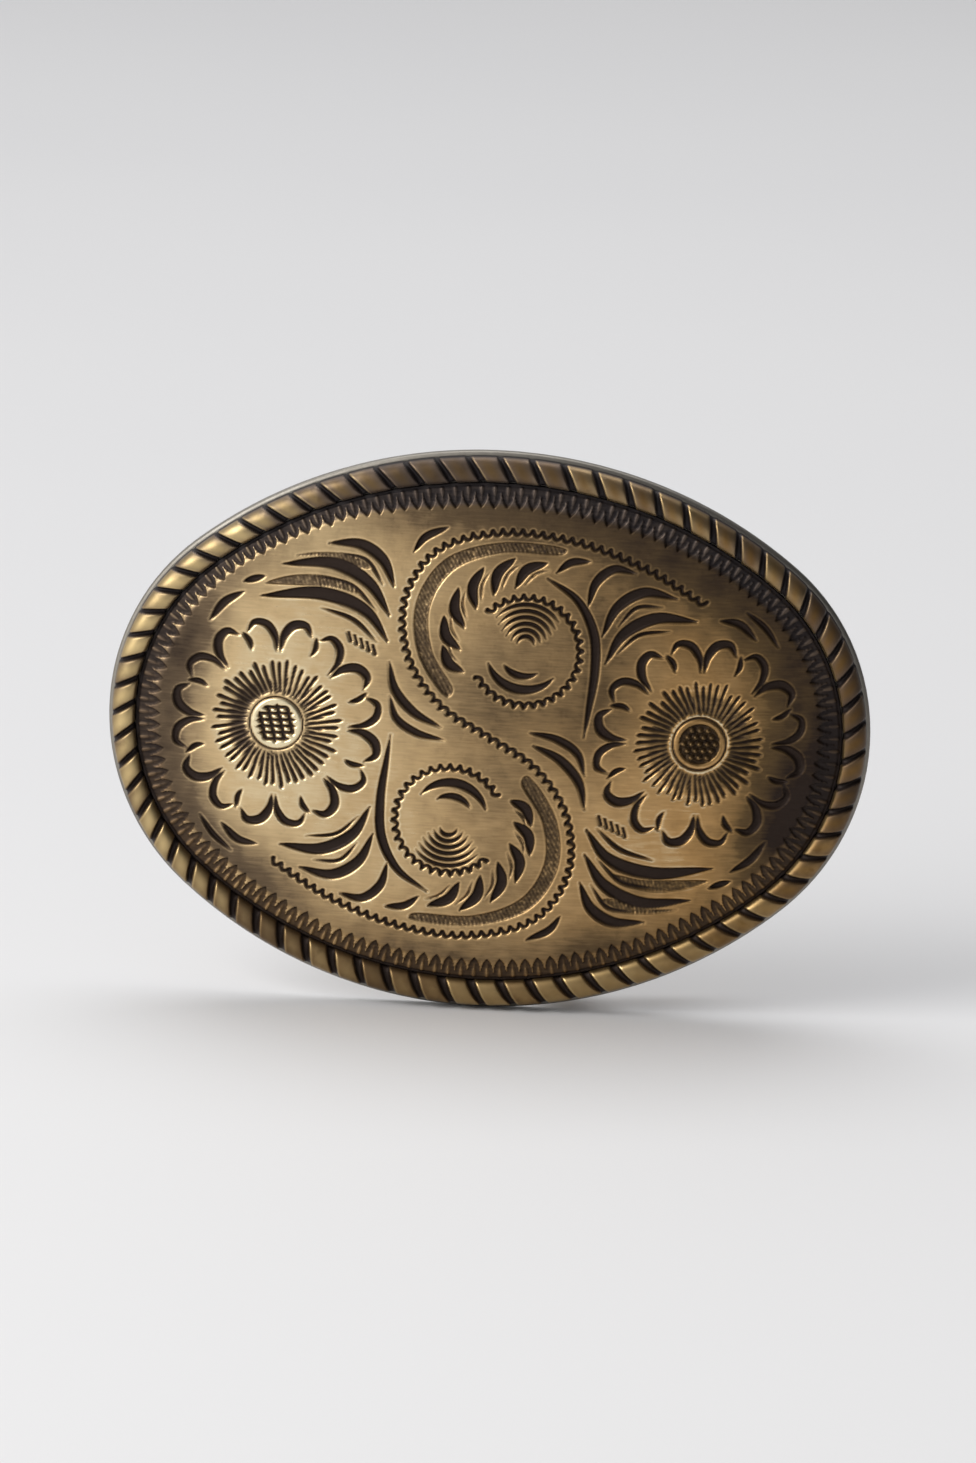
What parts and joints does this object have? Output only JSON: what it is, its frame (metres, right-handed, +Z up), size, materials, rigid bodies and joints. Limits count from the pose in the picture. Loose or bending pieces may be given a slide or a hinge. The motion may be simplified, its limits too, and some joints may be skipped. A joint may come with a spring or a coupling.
{
  "type": "belt buckle",
  "caption": "Domed oval western belt buckle: engraved floral front plate with a rope edge, hinged wire bail for the belt's fold and a fixed hook for its punched end.",
  "frame": {"origin": "middle of the base plate's back face, where the belt lies behind the plate", "axes": "+Z up as worn, -Y the engraved front face, +Y towards the wearer, +X towards the bail's side (right, seen from the front)"},
  "size_m": [0.089, 0.0153, 0.066],
  "materials": {
    "antique_brass": "cast back, dark antique patina",
    "engraved_brass": "brushed antique brass with black patina in the cuts",
    "rope_brass": "antique brass, worn bright on the strands",
    "hardware": "antique brass, satin",
    "bail_wire": "antique brass plated wire, satin"
  },
  "bodies": {
    "plate": {"base_plate": "antique_brass", "engraved_plate": "engraved_brass", "rope_edge": "rope_brass", "upper_bail_lug": "hardware", "lower_bail_lug": "hardware", "hook_pad": "hardware", "belt_hook": "hardware"},
    "bail": {"belt_bail": "bail_wire"}
  },
  "joints": [
    {"name": "bail_swing", "type": "hinge", "parent": "plate", "child": "bail", "pos_m": [0.01, 0.0066, 0], "axis": [0, 0, 1], "range_deg": [-20, 177]}
  ]
}
